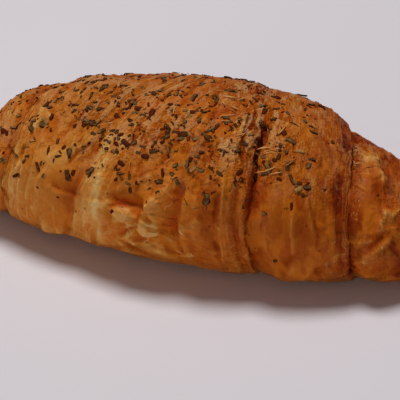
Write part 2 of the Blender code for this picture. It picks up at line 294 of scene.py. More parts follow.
def relief(meridian, turn):
    height = np.zeros_like(meridian)
    degrees = np.degrees(turn)
    fromTight = np.abs(degrees - tight["middle"]) - tight["half"]
    tightness = tight["keep"] + (1 - tight["keep"]) * smooth(0, tight["fade"], fromTight)
    for side in (-1, +1):
        places = edgePlaces(side, turn / (math.pi / 2))
        for edge, place in zip(edges[side], places):
            past = pastEdge(side, meridian, place)
            inside = -edge["lip"] * smooth(-roll["lipWidth"], 0, past)
            hollow = edge["lip"] + edge["step"] - edge["net"]
            outside = -edge["net"] - hollow * (1 - smooth(0, edge["rise"], past))
            ledge = np.where(past < onEdge, inside, outside)
            if "soft" in edge:  # worn down to a slope
                ledge = inside + (outside - inside) * smooth(-edge["soft"], edge["soft"], past)
            if edge is openEdge:
                ledge = ledge * tightness - cleft["depth"] * cleftDepth(past, degrees)
            height = height + ledge
        for inner, outer in zip(places, places[1:] + [np.ones_like(turn)]):
            share = np.clip((meridian * side - inner) / (outer - inner), 0, 1)
            height = height + roll["pillow"] * 4 * share * (1 - share)
    return height


def surface(meridian, turn):  # meridian runs -1 to 1 from tip to tip, turn is the angle from the top
    along = np.sin(meridian * math.pi / 2)
    share = np.maximum(girth(along), 0)
    wide = roll["width"] / 2 * share
    low = roll["height"] * roll["belly"] * share
    middle = roll["height"] * roll["belly"] * tapered(along) - roll["sink"] * np.sqrt(share)
    middle = middle + roll["tipLift"] * np.abs(along) ** 3
    tall = np.where(np.cos(turn) > 0, roll["height"] * (1 - roll["belly"]) * share, low)
    squarer = (roll["underPower"] - roll["roundPower"]) * smooth(*roll["squarer"], -np.cos(turn))
    power = roll["roundPower"] + squarer
    sine, cosine = np.abs(np.sin(turn)), np.abs(np.cos(turn))
    wide, tall = np.maximum(wide, 1e-6), np.maximum(tall, 1e-6)
    radius = ((sine / wide) ** power + (cosine / tall) ** power) ** (-1 / power)
    waves = swell(roll["length"] / 2 * along, -radius * np.sin(turn), radius * np.cos(turn))
    pressed = 1 - roll["pressed"] * smooth(*roll["pressedTurns"], np.abs(turn))
    extra = (relief(meridian, turn) + waves) * pressed * share ** roll["reliefPower"]
    radius = np.maximum(radius + extra, 0)
    forward = radius * np.sin(turn)
    slope = 4 * roll["bow"] * along / roll["length"]
    tilt = 1 / np.sqrt(1 + slope**2)
    x = roll["length"] / 2 * along + forward * slope * tilt
    y = roll["bow"] * along**2 - forward * tilt
    return np.stack([x, y, middle + radius * np.cos(turn)], axis=-1)


crust = {
    # gaps between rings in metres, how far from an edge two of them reach, and each band's detail
    "gap": {"open": 0.00062, "rise": 0.00036, "lip": 0.00027, "brink": 0.00013},
    "riseReach": 0.003, "brinkReach": 0.0006, "detail": (1.0, 1.0, 0.85, 0.45), "tipRings": 12,
    "fineTurns": (-74, 127), "finePoints": 190, "coarsePoints": 36,
    # how rough the skin is: everywhere, how much more on top between turns in degrees, and in patches
    "rough": 0.15, "rougher": 0.65, "backTurns": (-125, -70), "frontTurns": (50, 88),
    "roughPatches": 0.35, "roughPatch": (0.013, 0.013), "crumple": 0.62,
    # the skin's relief fades towards the tips and below the roll, which is browner
    "tipFade": 0.25, "lowTurns": (118, 150), "lowKept": 0.12, "brownTurns": (112, 150),
    "crestReach": 0.0016, "crestHeight": 0.00034, "swellReach": 0.006, "swellHeight": 0.0010,
    "sheets": {  # thin sheets of dough, ending one above another on the slope down to each edge, each with a painted highlight along its edge and a painted shadow just past it
        "seed": 5, "count": 14, "height": 0.00015, "spread": (0.0, 0.97), "reach": 0.002,
        "waves": (1.5, 4.0), "wander": 0.00035, "ripple": 0.00008, "ripples": 5.3,
        "patches": 2.6, "strength": 0.75, "uneven": 1.1, "weakest": 0.1, "strongest": 1.3,
        "drawn": (0.6, 1.1), "rise": 0.0007, "drop": 0.00016, "level": 0.3, "rim": 0.00026,
        "shade": 0.22, "shadeAt": 0.0004, "shadeWidth": 0.00030,
        "slopePatch": (0.004, 0.016), "slopeUneven": 0.5, "slope": (0.05, 0.75),
        "paleTurns": (40, 92), "paleLeast": 0.25,  # they show most where the side is steep
    },
    "pulled": {  # skin pulled into short ridges outside an edge with painted highlights on them, and the painted shade in the crevice along the edge
        "size": (0.0046, 0.0013), "height": 0.00040, "reach": 0.0034, "turns": (60, 80),
        "often": 0.45, "uneven": 1.6, "patch": (0.011, 0.011), "ridge": 0.16, "level": 0.35,
        "light": 0.9, "lightWidth": 0.10, "lineAt": 0.0002, "lineWidth": 0.0005,
        "frontLine": (20, 45), "backLine": (70, 100),  # where the open edge has that line, in degrees
        "cleftDark": 0.70, "cleftWider": 2.2,
    },
    "crumpled": {  # panels, peeled scraps and wrinkles
        "crispness": 34.0, "bend": 0.22, "bendWaves": 2.3, "bendStart": 1.7, "crease": 0.050,
        "creased": 1.4, "uncreased": 0.3,
        "panels": [  # their size along and round the roll, their height where calm and where rough
            {"cell": (0.0095, 0.0125), "calm": 0.0019, "rough": 0.0011, "shift": 0.0},
            {"cell": (0.0046, 0.0066), "calm": 0.00075, "rough": 0.00055, "shift": 0.3},
            {"cell": (0.0020, 0.0034), "calm": 0.00005, "rough": 0.00024, "shift": 0.7},
        ],
        # thin skin that has peeled: patches' size, the noise where they end, and their thickness
        "peel": [((0.0042, 0.0130), 0.05, 0.00022), ((0.0024, 0.0070), -0.12, 0.00018),
                 ((0.0013, 0.0036), 0.10, 0.00012)],
        "peelEdge": 0.045, "peelLeast": 0.15,
        "wrinkle": (0.0026, 0.0095), "wrinkleHeight": 0.00034, "wrinkleWidth": 0.14, "wrinkleLevel": 0.4,
        "wrinkleFrom": 0.1,
    },
    "folded": {  # how far the folds wander, in patches of two sizes, and when they get painted shade in a crease or a painted highlight on a ridge
        "wander": 0.0007, "alongPatch": (0.0070, 0.0070), "roundPatch": (0.0055, 0.0055),
        "deep": 0.0018, "sharp": 0.001, "tall": 0.0010, "light": 0.8,
    },
}

# places that differ, as share along and degrees, with their reach in metres along and round: how
# much browner the bake is (in the rows so marked, painted light and shade), how much rougher and more
# crumpled the skin, and how glossy
regionParts = ("at", "reach", "bake", "rough", "crumple", "gloss")
regions = [dict(zip(regionParts, row)) for row in [
    ((0.25, 84), (0.017, 0.032), 0.13, -0.35, -0.6, 0.1),  # satin outer layer
    ((0.065, 92), (0.012, 0.022), 0.15, -0.2, -0.2),
    ((0.068, 33), (0.005, 0.0095), -0.28, 0.3, 0.0),  # torn pale skin
    ((0.036, 22), (0.004, 0.006), 0.24, 0.0, 0.0),
    ((0.116, 22), (0.005, 0.012), 0.14, 0.3, 0.2),
    ((-0.316, 64), (0.006, 0.007), -0.2, -0.5, -0.3),
    ((-0.265, 88), (0.007, 0.007), 0.16, -0.2, -0.3),
    ((-0.35, 96), (0.022, 0.02), -0.11, -0.4, -0.4),
    ((-0.194, 44), (0.008, 0.014), -0.12, 0.0, -0.3),
    ((-0.209, 96), (0.006, 0.014), -0.16, 0.0, -0.2),
    ((-0.08, 98), (0.018, 0.014), -0.14, -0.2, 0.35),
    ((0.401, 56), (0.006, 0.013), 0.04, -0.2, -0.3),
    # these four rows lighten lumps of the far tip: partly paler bake, partly painted highlights
    ((0.472, 58), (0.005, 0.009), -0.24, 0.0, 0.0),
    ((0.425, 14), (0.004, 0.005), -0.16, 0.1, 0.2),
    ((0.385, 92), (0.006, 0.007), -0.14, 0.0, 0.2),
    ((0.395, -4), (0.005, 0.008), -0.2, 0.2, 0.2),
    ((-0.44, 52), (0.006, 0.01), 0.16, 0.0, 0.0),
    ((-0.285, 76), (0.007, 0.006), 0.16, 0.0, 0.0),
    ((0.43, 95), (0.018, 0.024), -0.03, -0.1, 0.1),
    ((0.43, 30), (0.016, 0.06), 0.0, -0.5, -0.1, 1.0),
    ((-0.52, 70), (0.02, 0.04), -0.19, -0.3, 0.0),
    ((0.0, 46), (0.024, 0.015), 0.1, 0.0, 0.0),
    ((-0.198, 94), (0.0017, 0.017), -0.34, 0.0, 0.0),  # pale streak
    # lighter just past the second edge on the right: painted light where the step casts its shade
    ((0.374, 42), (0.0042, 0.026), -0.26, 0.0, 0.0),
    ((0.16, 67), (0.0019, 0.014), 0.34, -0.2, 0.0),  # the cleft's far flank, darker: partly deeper bake, partly painted shade of the cleft
    ((0.46, 44), (0.02, 0.06), 0.27, 0.0, 0.0),
    ((0.228, -50), (0.06, 0.016), 0.12, 0.0, -0.3),
    ((-0.05, -20), (0.07, 0.016), 0.08, 0.0, -0.3),
]]


def bandShares(width, detail, opens):  # where rings cross a band, closer together by its edges
    places = [0.0]
    while places[-1] < width:
        after = places[-1] if opens else width
        before = width - places[-1]
        gap = crust["gap"]["open"]
        if after < crust["riseReach"]:
            gap = crust["gap"]["rise"]
        if before < roll["lipWidth"]:
            gap = crust["gap"]["lip"]
        if min(after, before) < crust["brinkReach"]:
            gap = crust["gap"]["brink"]
        places.append(places[-1] + gap / detail)
    return np.array(places[:-1]) / places[-1]


def followed(turn):  # quarter turns from the top, back to 0 under the roll so that the rings close
    left = (math.pi - np.abs(turn)) / (math.pi - roll["straightTurn"])
    limit = np.minimum(np.abs(turn), roll["straightTurn"]) * smooth(0, 1, left)
    return np.sign(turn) * limit / (math.pi / 2)


def crustGrid():
    low, high = crust["fineTurns"]
    fine = np.linspace(low, high, crust["finePoints"], endpoint=False)
    coarse = np.linspace(high, low + 360, crust["coarsePoints"], endpoint=False)
    turns = np.concatenate([fine, coarse])
    turns = np.sort(np.radians(np.where(turns >= 180, turns - 360, turns)))
    rows = {}
    for side in (-1, +1):
        places = [np.zeros_like(turns)] + edgePlaces(side, followed(turns))
        tops = [0.0] + [edge["top"] for edge in edges[side]]
        rows[side] = []
        for number, detail in enumerate(crust["detail"]):
            width = alongMetres(tops[number + 1]) - alongMetres(tops[number])
            inner, outer = places[number], places[number + 1]
            shares = bandShares(width, detail, number > 0)
            rows[side] += [inner + (outer - inner) * share for share in shares]
        tip = np.arange(crust["tipRings"]) / crust["tipRings"]
        rows[side] += [places[-1] + (1 - places[-1]) * share for share in tip]
    return np.array([-row for row in rows[-1][:0:-1]] + rows[+1]), turns


def combed(meridian, turn):  # metres along the roll with every layer's edge brought straight
    quarter = turn / (math.pi / 2)
    left, right = edgePlaces(-1, quarter), edgePlaces(+1, quarter)
    tops = [-1] + [-edge["top"] for edge in edges[-1][::-1]] + [edge["top"] for edge in edges[+1]] + [1]
    straight = np.empty_like(meridian)
    for column in range(len(turn)):
        places = [-1] + [-row[column] for row in left[::-1]] + [row[column] for row in right] + [1]
        straight[:, column] = np.interp(meridian[:, column], places, tops)
    return alongMetres(straight)


def field(function, points):  # a number for every point of a grid
    flat = points.reshape(-1, 3).tolist()
    return np.array([function(Vector(point)) for point in flat]).reshape(points.shape[:-1])


def stretched(points, along, across, shift=0.0):
    return points / np.array([along, across, across]) + shift


def patches(points, size, shift=0.0):  # smooth noise of a size along and round the roll
    return field(noise.noise, stretched(points, *size, shift))


def border(point):  # how far a place is from the nearest crease between panels
    distances, _ = noise.voronoi(point)
    return distances[1] - distances[0]


def panels(point):  # nearly flat panels that meet at soft creases
    distances, middles = noise.voronoi(point)
    total, weights = 0.0, 0.0
    for away, middle in zip(distances, middles):
        weight = math.exp(-crust["crumpled"]["crispness"] * (away - distances[0]))
        tilt = noise.cell_vector(middle) * 2 - Vector((1, 1, 1))
        total += weight * tilt.dot(point - middle)
        weights += weight
    return total / weights


def mark(looks, name, values):  # a look keeps its strongest value at each point
    looks[name] = np.maximum(looks[name], values)


def laySheets(draw, side, edge, past, turn, comb, height, looks):  # adds one edge's sheets, with a painted highlight along each and a painted shadow past it
    sheets = crust["sheets"]
    inLip = (past < onEdge) & (past > -roll["lipWidth"] - sheets["reach"])
    for middle in np.sort(draw.uniform(*sheets["spread"], sheets["count"])):
        start, waves = draw.uniform(0, 50), draw.uniform(*sheets["waves"])
        wander = sheets["wander"] * np.sin(turn * waves + start)
        wander = wander + sheets["ripple"] * np.sin(turn * waves * sheets["ripples"] + start)
        away = past - (middle - 1) * roll["lipWidth"] - wander
        places = [Vector((angle * sheets["patches"], start, side)) for angle in turn]
        uneven = np.array([noise.noise(place) for place in places])
        strength = sheets["strength"] + sheets["uneven"] * uneven
        strength = np.clip(strength, sheets["weakest"], sheets["strongest"])
        strength = strength * draw.uniform(*sheets["drawn"])
        rising = np.exp(np.minimum(away, 0) / sheets["rise"])
        profile = np.where(away < 0, rising, np.exp(-np.maximum(away, 0) / sheets["drop"]))
        sheen = 0.5 + edge["sheen"] / 2
        height += sheets["height"] * sheen * strength * (profile - sheets["level"]) * inLip
        # a painted highlight along each sheet's edge and a painted shadow just past it
        mark(looks, "rim", edge["sheen"] * bell(away, sheets["rim"]) * strength * inLip)
        shade = bell(away - sheets["shadeAt"], sheets["shadeWidth"]) * strength * inLip
        mark(looks, "char", sheets["shade"] * shade)
    share = np.clip(1 + past / roll["lipWidth"], 0, 1)
    uneven = patches(comb, sheets["slopePatch"], 11.0 + side)
    inside = smooth(*sheets["slope"], share + sheets["slopeUneven"] * uneven) * inLip
    steep = smooth(*sheets["paleTurns"], np.degrees(turn))
    lower = sheets["paleLeast"] + (1 - sheets["paleLeast"]) * steep
    mark(looks, "pale", edge["pale"] * inside * lower)
    looks["bake"] += edge["bake"] * inside
    mark(looks, "lip", inside)


def pullSkin(side, edge, past, turn, comb, height, looks):  # adds the ridges outside one edge with their painted highlights, and painted shade along the edge and in the cleft
    pulled = crust["pulled"]
    degrees = np.degrees(turn)
    often = pulled["often"] + pulled["uneven"] * patches(comb, pulled["patch"], side)
    near = edge["pull"] * (1 - smooth(*pulled["turns"], degrees)) * np.clip(often, 0, 1)
    near = near * bell(past, pulled["reach"]) * (past > onEdge)
    pull = patches(comb, pulled["size"], 7.7 * side)
    height += pulled["height"] * (bell(pull, pulled["ridge"]) - pulled["level"]) * near
    # painted highlights on the pulled ridges
    mark(looks, "rim", pulled["light"] * bell(pull, pulled["lightWidth"]) * near)
    # painted shade in the crevice at the foot of the step
    line = edge["dark"] * bell(past - pulled["lineAt"], pulled["lineWidth"])
    if edge is openEdge:  # torn over at the top, where no line shows
        shown = smooth(*pulled["frontLine"], degrees) + smooth(*pulled["backLine"], -degrees)
        line = line * np.clip(shown, 0, 1)
        # painted shade in the cleft, with darker bake there
        mark(looks, "char", pulled["cleftDark"] * cleftDepth(past, degrees))
        wider = cleft["shift"] + (past - cleft["shift"]) / pulled["cleftWider"]
        mark(looks, "fold", cleftDepth(wider, degrees))
    mark(looks, "char", line)


def skinKinds(x, y, degrees, comb, looks):  # how rough and how crumpled the skin is
    onTop = (1 - smooth(*crust["frontTurns"], degrees)) * smooth(*crust["backTurns"], degrees)
    rough = crust["rough"] + crust["rougher"] * onTop
    rough = rough + crust["roughPatches"] * patches(comb, crust["roughPatch"])
    crumple = np.full_like(rough, crust["crumple"])
    for region in regions:
        middleX, middleY = unrolled(region["at"][0], math.radians(region["at"][1]))
        away = ((x - middleX) / region["reach"][0]) ** 2 + ((y - middleY) / region["reach"][1]) ** 2
        near = np.exp(-away)
        looks["bake"] += region["bake"] * near
        rough += region["rough"] * near
        crumple += region["crumple"] * near
        looks["gloss"] += region.get("gloss", 0.0) * near
    return rough, crumple


def crumpleSkin(comb, rough, crumple, looks):
    crumpled = crust["crumpled"]
    height = np.zeros_like(rough)
    share = np.clip(rough, 0, 1)
    for number, layer in enumerate(crumpled["panels"]):
        cells = stretched(comb, *layer["cell"], layer["shift"])
        waves = cells[..., [1, 2, 0]] * crumpled["bendWaves"] + crumpled["bendStart"]
        cells = cells + crumpled["bend"] * np.sin(waves)
        if number == 0:
            creased = np.clip(crumple * crumpled["creased"] - crumpled["uncreased"], 0, 1)
            # the creases between panels, which get painted highlights on crests and painted shade in
            # hollows
            looks["crease"] = bell(field(border, cells), crumpled["crease"]) * creased
        rise = layer["calm"] * (1 - share) + layer["rough"] * share
        height += rise * field(panels, cells) * crumple
    for number, (size, level, thickness) in enumerate(crumpled["peel"]):
        spread = patches(comb, size, 20.3 + number) - level
        peeled = smooth(-crumpled["peelEdge"], crumpled["peelEdge"], spread)
        height += thickness * peeled * np.clip(rough, crumpled["peelLeast"], 1)
    lines = bell(patches(comb, crumpled["wrinkle"], 4.2), crumpled["wrinkleWidth"])
    lines = lines - crumpled["wrinkleLevel"]
    height += crumpled["wrinkleHeight"] * lines * np.clip(rough - crumpled["wrinkleFrom"], 0, 1)
    return height


def foldSkin(x, y, comb, height, looks):  # adds the folds to the height, with painted shade in the creases and painted highlights on sharp ridges
    folded = crust["folded"]
    x = x + folded["wander"] * patches(comb, folded["alongPatch"])
    y = y + folded["wander"] * patches(comb, folded["roundPatch"], 3.3)
    for fold in folds:
        shape = foldShape(fold, x, y)
        height += fold["height"] * shape
        mark(looks, "fold", shape * min(1.0, -fold["height"] / folded["deep"]))
        if fold["brink"] < folded["sharp"]:
            mark(looks, "rim", folded["light"] * shape**4 * min(1.0, fold["height"] / folded["tall"]))


def blurMatrix(places, reach, period=None):
    apart = np.abs(places[:, None] - places[None, :])
    if period:
        apart = np.minimum(apart, period - apart)
    weights = bell(apart, reach) * np.gradient(places)[None, :]
    return weights / weights.sum(axis=1, keepdims=True)


def markCrests(total, meridian, turns, looks):  # crests and hollows at two scales, for painted highlights on the crests and painted shade in the hollows
    rings = alongMetres(meridian[:, np.argmin(np.abs(turns))])
    for name in ("crest", "swell"):
        reach = crust[name + "Reach"]
        ringBlur = blurMatrix(rings, reach)
        turnBlur = blurMatrix(turns * perRadian, reach, 2 * math.pi * perRadian)
        rise = total - ringBlur @ total @ turnBlur.T
        looks[name] = np.clip(rise / crust[name + "Height"], -1, 1)


def gridNormals(grid):
    alongStep = np.gradient(grid, axis=0)
    roundStep = np.roll(grid, -1, axis=1) - np.roll(grid, 1, axis=1)
    normals = np.cross(roundStep, alongStep)
    return normals / np.maximum(np.linalg.norm(normals, axis=-1, keepdims=True), 1e-12)


def gridFaces(rows, count):  # closed round the roll and, with one more point for each, at both tips
    ring = np.arange(rows - 1)[:, None] * count
    step = np.arange(count)[None, :]
    after = (step + 1) % count
    quads = np.stack([ring + step, ring + after, ring + count + after, ring + count + step], axis=-1)
    faces = quads.reshape(-1, 4).tolist()
    last, tip = (rows - 1) * count, rows * count
    faces += [(tip, (k + 1) % count, k) for k in range(count)]
    return faces + [(tip + 1, last + k, last + (k + 1) % count) for k in range(count)]


def makeCrust():
    meridian, turns = crustGrid()
    turn = np.broadcast_to(turns, meridian.shape)
    grid = surface(meridian, turn)
    names = ("rim", "char", "pale", "bake", "lip", "fold", "crease", "gloss")
    looks = {name: np.zeros_like(meridian) for name in names}

    comb = grid.copy()
    comb[..., 0] = combed(meridian, turns)
    x, y = unrolled(meridian, turn)
    rough, crumple = skinKinds(x, y, np.degrees(turn), comb, looks)
    print("comb laid")

    height = np.zeros_like(meridian)
    draw = np.random.default_rng(crust["sheets"]["seed"])
    for side in (-1, +1):
        for edge, place in zip(edges[side], edgePlaces(side, turns / (math.pi / 2))):
            past = pastEdge(side, meridian, place)
            laySheets(draw, side, edge, past, turns, comb, height, looks)
            pullSkin(side, edge, past, turns, comb, height, looks)
    print("sheets laid")
    height += crumpleSkin(comb, rough, np.clip(crumple, 0.1, 1), looks)
    foldSkin(x, y, comb, height, looks)
    looks["rough"] = np.clip(rough, 0, 1)
    looks["crumple"] = np.clip(crumple, 0, 1)
    print("skin crumpled")

    fade = smooth(0, crust["tipFade"], girth(np.sin(meridian * math.pi / 2)))
    below = smooth(*np.radians(crust["lowTurns"]), np.abs(turn))
    height *= fade * (crust["lowKept"] + (1 - crust["lowKept"]) * (1 - below))
    grid = grid + gridNormals(grid) * height[..., None]
    markCrests(relief(meridian, turn) + height, meridian, turns, looks)
    looks["under"] = smooth(*np.radians(crust["brownTurns"]), np.abs(turn))

    low, high = grid.reshape(-1, 3).min(axis=0), grid.reshape(-1, 3).max(axis=0)
    shift = np.array([-(low[0] + high[0]) / 2, -(low[1] + high[1]) / 2, 0.0])
    grid = grid + shift
    grid[..., 2] = np.maximum(grid[..., 2], 0)
    tips = surface(np.array([-1.0, 1.0]), np.zeros(2)) + shift
    points = np.concatenate([grid.reshape(-1, 3), tips])
    faces = gridFaces(len(grid), len(turns))
    attributes = {name: np.append(values, [0, 0]) for name, values in looks.items()}
    attributes["comb"] = np.concatenate([comb.reshape(-1, 3), np.zeros((2, 3))])
    print("crust", len(points), "points", len(faces), "faces")
    return newPiece("crust", points.tolist(), faces, attributes), shift


crustLook = {
    # tones from palest to most baked, each with its place on the scale
    "tones": [(0.00, (0.78, 0.490, 0.170)), (0.22, (0.72, 0.310, 0.062)), (0.45, (0.595, 0.187, 0.020)),
              (0.66, (0.460, 0.102, 0.006)), (0.86, (0.31, 0.045, 0.0018)), (1.0, (0.18, 0.017, 0.001))],
    # colours laid over the tone: painted shade with char and dark specks, painted highlight on rims and
    # crests, painted shade in folds, a browner underside, pale skin partly as painted sheen, glaze and
    # warm patches
    "char": (0.085, 0.010, 0.002), "rim": (0.82, 0.50, 0.16), "fold": (0.43, 0.057, 0.003),
    "under": (0.44, 0.16, 0.035), "skin": (0.69, 0.340, 0.122), "glaze": (0.63, 0.175, 0.010),
    "warm": (0.56, 0.105, 0.004),
    # noise: its scale, detail, roughness and, where it lies along the comb, its stretch
    "grains": {
        "blotch": (65, 3, 0.5), "fine": (480, 5, 0.62), "gravel": (1500, 3, 0.6),
        "often": (150, 2, 0.5), "warm": (105, 3, 0.55),
        "streak": (110, 4, 0.62, (4.5, 0.8, 0.8)), "hair": (260, 4, 0.65, (5.0, 0.7, 0.7)),
        "lines": (250, 3, 0.6, (7.0, 0.2, 0.2)), "threads": (230, 3, 0.6, (6.0, 0.9, 0.9)),
        "skin": (130, 4, 0.6, (2.6, 0.9, 0.9)), "scraps": (330, 3, 0.55, (2.4, 1, 1)),
        "glaze": (95, 3, 0.5, (1.8, 1, 1)),
    },
    # where patches of it start and are whole
    "patches": {"skin": (-0.02, 0.05), "scraps": (0.01, 0.04), "often": (-0.06, 0.06),
                "glaze": (0.0, 0.10), "warm": (0.02, 0.10)},
    # pits with flat sides: their scale and how they are turned
    "facets": {"panel": (125, (0.5, 0.3, 0.9)), "facet": (330, (0.2, 1.1, 0.4)),
               "flake": (850, (1.0, 0.4, 0.2))},
    "facetStretch": (1.2, 1, 1), "bendScale": 160, "bend": (0.005, 0.005, 0.005),
    "panelCrease": (0.0, 0.13), "facetCrease": (0.0, 0.20), "creaseLeast": 0.35,
    "spotScale": 170, "speck": (0.055, 0.10), "blister": (640, 0.6),
    # what makes the tone browner or, taken away, paler: how much, or the least and what it gains
    "middle": 0.590,
    "tone": {"rough": 0.08, "blotch": (0.30, 0.10), "fine": 0.26, "streak": (0.10, 0.27),
             "lines": (0.08, 0.85), "scraps": (0.02, 0.16), "flake": 0.24, "pale": 0.42,
             "crest": 0.15, "swell": 0.10, "panel": 0.7, "crumple": 0.16},
    # the same for the heights of the bump, in millimetres
    "bump": {"fine": 0.26, "gravel": 0.08, "streak": (0.10, 0.72), "lines": (0.04, 0.60), "skin": 0.18,
             "scraps": (0.01, 0.14), "panel": 0.28, "facet": 0.20, "flake": 0.36, "crease": 0.05,
             "blister": 0.08, "speck": 0.25},
    # and for the shares of the colours above
    "share": {"skin": (-0.05, 0.75), "warm": (0.20, 0.34), "glaze": 0.55, "rim": (0.6, 1.2),
              "crease": 0.68, "crest": 0.60, "hollow": 0.5, "fold": 0.9, "char": 0.85, "speck": 0.55},
    # where each of them starts and is whole
    "limits": {"glaze": (0.25, 0.50), "rim": (0.12, 1.1), "crest": (0.0, 0.9), "hollow": (0.1, 0.9),
               "fold": (0.1, 1.3), "char": (0.10, 1.05), "coat": (0.1, 1.4), "gloss": (0.0, 0.3)},
    "roughness": 0.50, "rougher": {"fine": 0.25, "blotch": 0.20, "skin": 0.10},
    "specular": 0.05, "gloss": 0.13, "glossiest": 0.05, "coatRoughness": 0.32,
}


def crustMaterial():
    material, wire, shader = newMaterial("crust")
    place = wire.node("TexCoord", {}, {}, 3)
    comb = wire.node("Attribute", {"attribute_name": "comb"}, {}, 1)
    toneOf, bumpOf, shareOf = crustLook["tone"], crustLook["bump"], crustLook["share"]
    limits, rougher = crustLook["limits"], crustLook["rougher"]

    def seen(name):
        return wire.node("Attribute", {"attribute_name": name}, {}, 2)

    def grain(name):
        scale, detail, roughness, *stretch = crustLook["grains"][name]
        spot = wire.node("Mapping", {}, {"Vector": comb, "Scale": stretch[0]}) if stretch else place
        inlets = {"Vector": spot, "Scale": scale, "Detail": detail, "Roughness": roughness}
        return wire.node("TexNoise", {}, inlets) - 0.5

    def patch(name):
        return grain(name).between(*crustLook["patches"][name])

    def by(source, weights):  # a weight that grows with the source
        return source * weights[1] + weights[0]

    def facets(name):  # pits with flat sides, how far it is to the crests between them, and a tone
        scale, turned = crustLook["facets"][name]
        turn = {"Vector": bent, "Rotation": turned, "Scale": crustLook["facetStretch"]}
        inlets = {"Vector": wire.node("Mapping", {}, turn), "Scale": scale}

        def cells(feature, outlet=0):
            settings = {"feature": feature, "distance": "MANHATTAN"}
            return wire.node("TexVoronoi", settings, inlets, outlet)

        tone = wire.node("SeparateColor", {}, {0: cells("F1", 1)}) - 0.5
        return cells("F1") * (1000 / scale), cells("F2") - cells("F1"), tone

    names = ("rough", "lip", "crumple", "crest", "crease", "gloss")
    rough, lip, crumple, crest, crease, gloss = [seen(name) for name in names]
    blotch, fine, streak, hair = [grain(name) for name in ("blotch", "fine", "streak", "hair")]
    lines = grain("lines") * 0.6 + grain("threads") * 0.5
    skin, scraps, often = patch("skin"), patch("scraps"), patch("often")
    wave = wire.node("TexNoise", {}, {"Vector": comb, "Scale": crustLook["bendScale"]}, 1)
    inlets = {0: wave, 1: crustLook["bend"], 2: comb}
    bent = wire.node("VectorMath", {"operation": "MULTIPLY_ADD"}, inlets)
    panel, panelEdge, panelTone = facets("panel")
    facet, facetEdge, facetTone = facets("facet")
    flake, _, flakeTone = facets("flake")
    least = crustLook["creaseLeast"]
    creases = (1 - panelEdge.between(*crustLook["panelCrease"])) * often
    creases = creases + (1 - facetEdge.between(*crustLook["facetCrease"])) * (least - often * least)
    inlets = {"Vector": place, "Scale": crustLook["spotScale"]}
    spots = wire.node("TexVoronoi", {"feature": "F1"}, inlets) + fine * 0.25
    specks = 1 - spots.between(*crustLook["speck"])

    # how browned each place is, with painted highlights on crests and painted shade in hollows
    tone = crustLook["middle"] + rough * toneOf["rough"] + blotch * by(rough, toneOf["blotch"])
    tone = tone + fine * toneOf["fine"] + (streak + hair) * by(rough, toneOf["streak"])
    tone = tone + lines * by(lip, toneOf["lines"]) - scraps * by(rough, toneOf["scraps"])
    tone = tone + flakeTone * (rough * toneOf["flake"]) + seen("bake") - seen("pale") * toneOf["pale"]
    # paler on crests and darker in hollows: painted highlight and painted shade
    tone = tone - crest * toneOf["crest"] - seen("swell") * toneOf["swell"]
    tone = tone + (panelTone * toneOf["panel"] + facetTone) * (crumple * toneOf["crumple"])
    colour = wire.node("ValToRGB", {"stops": crustLook["tones"]}, {0: tone})

    # pale skin, partly a painted sheen, glaze, painted highlights on creases, crests and rims, and
    # painted shade in folds, hollows and along edges over that
    # pale peeled skin, its colour partly a painted pinkish sheen on the top
    peeled = (skin * by(rough, shareOf["skin"])).between(0.0, 1.0)
    colour = peeled.tint(colour, crustLook["skin"])
    glaze = patch("glaze") * (shareOf["glaze"] - lip * shareOf["glaze"]) * tone.between(*limits["glaze"])
    colour = glaze.tint(colour, crustLook["glaze"])
    colour = (patch("warm") * by(rough, shareOf["warm"])).tint(colour, crustLook["warm"])
    # painted highlights along crests between panels, on crests and on rims
    light = creases * (crumple * (1.0 - rough * 0.7) + hair * 0.8) * shareOf["crease"]
    light = seen("rim") * by(hair, shareOf["rim"]) + light
    light = light + crease * crest.between(*limits["crest"]) * shareOf["crest"]
    colour = light.between(*limits["rim"]).tint(colour, crustLook["rim"])
    # painted shade in folds, hollows and the cleft, with darker bake in the cleft
    deep = seen("fold") * (shareOf["fold"] + blotch)
    deep = deep + crease * (0 - crest).between(*limits["hollow"]) * shareOf["hollow"]
    colour = deep.between(*limits["fold"]).tint(colour, crustLook["fold"])
    colour = seen("under").tint(colour, crustLook["under"])
    # painted shadow past the sheets' edges, painted shade in the crevices along the edges and in the
    # cleft, with darker bake there, and dark specks
    dark = seen("char") * (shareOf["char"] + fine * 0.8 + streak * 0.8) + specks * shareOf["speck"]
    colour = dark.between(*limits["char"]).tint(colour, crustLook["char"])
    colour.into(shader.inputs["Base Color"])

    # how it shines
    roughness = crustLook["roughness"] + fine * rougher["fine"]
    roughness = roughness + blotch * rougher["blotch"] + skin * rougher["skin"]
    roughness.into(shader.inputs["Roughness"])
    shader.inputs["Specular IOR Level"].default_value = crustLook["specular"]
    coat = (0.6 * crest + 2 * blotch + 0.4 - (skin + 1) * rough).between(*limits["coat"])
    coat = coat * crustLook["gloss"]
    coat = coat + (gloss + blotch * 1.5 - 0.1) * crustLook["glossiest"] * gloss.between(*limits["gloss"])
    coat.into(shader.inputs["Coat Weight"])
    shader.inputs["Coat Roughness"].default_value = crustLook["coatRoughness"]

